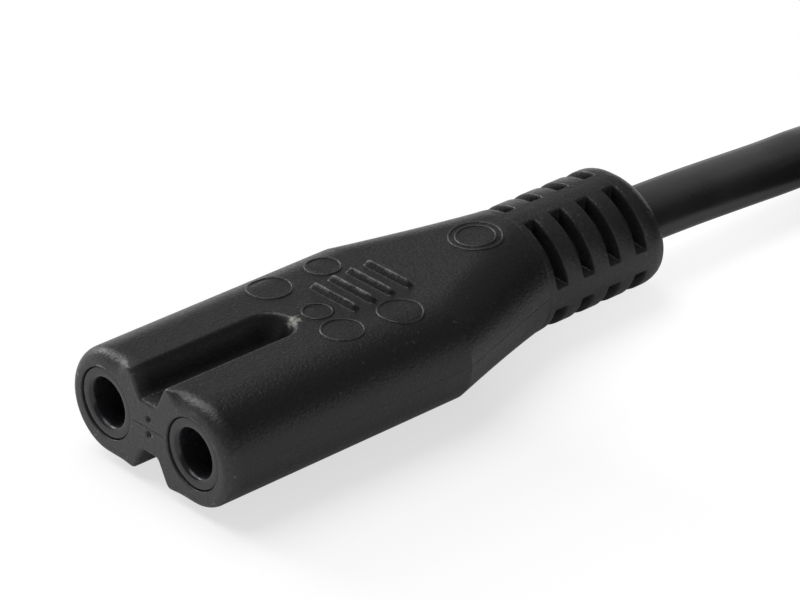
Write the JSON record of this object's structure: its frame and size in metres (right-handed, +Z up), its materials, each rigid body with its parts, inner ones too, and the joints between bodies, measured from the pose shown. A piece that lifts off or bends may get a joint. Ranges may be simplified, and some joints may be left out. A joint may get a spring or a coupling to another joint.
{
  "type": "figure eight power connector",
  "caption": "Moulded figure eight mains connector with recessed contact tubes, key grooves, tapered grip and slotted strain relief, on a tied flat cord with a sleeved-pin plug.",
  "frame": {"origin": "centre of the connector's underside, on the surface it lies on", "axes": "+X to the right of the nose, -Y out of the contact face, +Y towards the cord, +Z up"},
  "size_m": [0.0466, 0.2189, 0.0218],
  "materials": {
    "body_moulding": "fine satin grain, soft black PVC",
    "carrier_moulding": "smooth, rigid dark grey",
    "contact_brass": "rolled sheet, slightly dull",
    "copper_strand": "bare stranded copper",
    "core_brown": "smooth PVC",
    "core_blue": "smooth PVC",
    "cord_sheath": "satin black PVC",
    "tie_band": "plain black band",
    "plated_pin": "bright nickel plate",
    "pin_sleeve": "smooth, hard black"
  },
  "bodies": {
    "root": {"connector_body": "body_moulding", "contact_carrier": "carrier_moulding", "contact_left": "contact_brass", "contact_right": "contact_brass", "conductor_left": "copper_strand", "conductor_right": "copper_strand", "core_insulation_left": "core_brown", "core_insulation_right": "core_blue", "cord_lead": "cord_sheath", "cord_hank": "cord_sheath", "cord_tail": "cord_sheath", "hank_tie_left": "tie_band", "hank_tie_right": "tie_band", "plug_body": "body_moulding", "pin_carrier": "carrier_moulding", "plug_pin_left": "plated_pin", "plug_pin_right": "plated_pin", "pin_sleeve_left": "pin_sleeve", "pin_sleeve_right": "pin_sleeve", "plug_conductor_left": "copper_strand", "plug_conductor_right": "copper_strand", "plug_core_left": "core_brown", "plug_core_right": "core_blue"}
  },
  "joints": []
}
